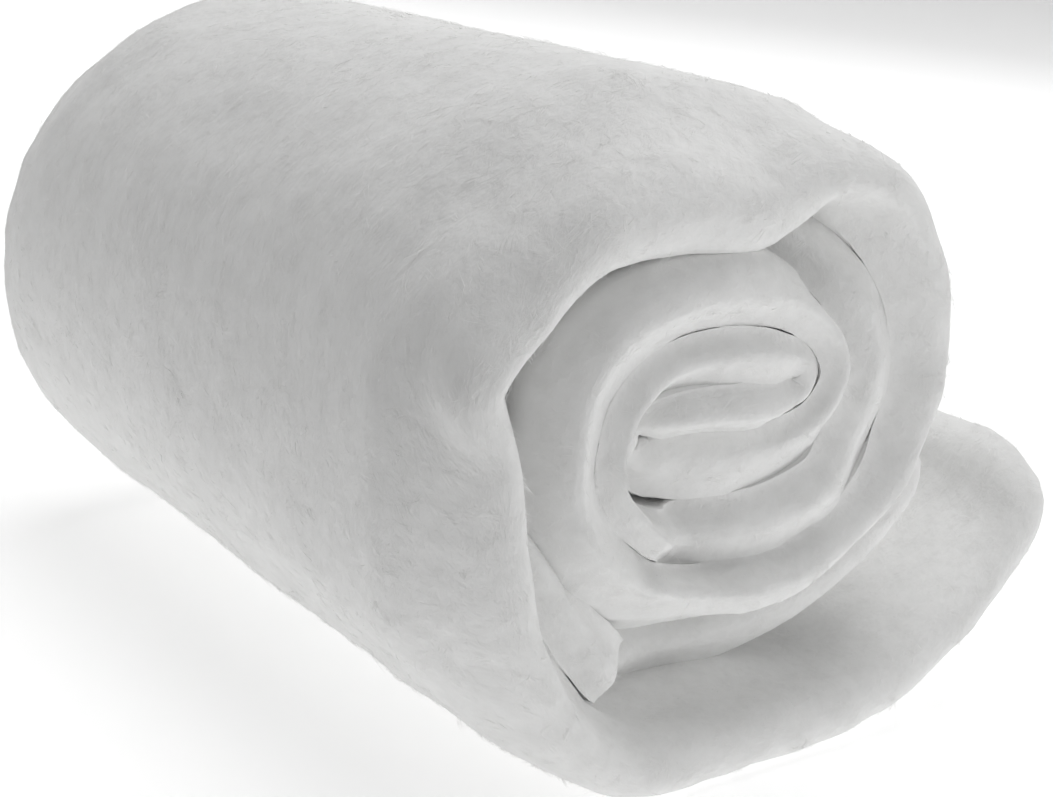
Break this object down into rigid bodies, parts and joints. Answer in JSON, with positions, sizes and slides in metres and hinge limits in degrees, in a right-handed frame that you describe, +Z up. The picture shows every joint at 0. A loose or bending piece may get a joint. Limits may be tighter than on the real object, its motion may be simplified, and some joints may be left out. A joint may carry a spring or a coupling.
{
  "type": "roll of polyester batting",
  "caption": "Soft white sheet of wadding folded over once and rolled up from the fold, an open spiral at both ends, with its outer end left lying out as a flap.",
  "frame": {"origin": "on the face the roll rests on, directly below the middle of the roll", "axes": "+Y along the roll, from its open near end to its far end; +X towards the flap; +Z up"},
  "size_m": [0.2963, 0.3361, 0.2231],
  "materials": {
    "wadding": "soft matt fibre"
  },
  "bodies": {
    "root": {"batting_roll": "wadding"}
  },
  "joints": []
}
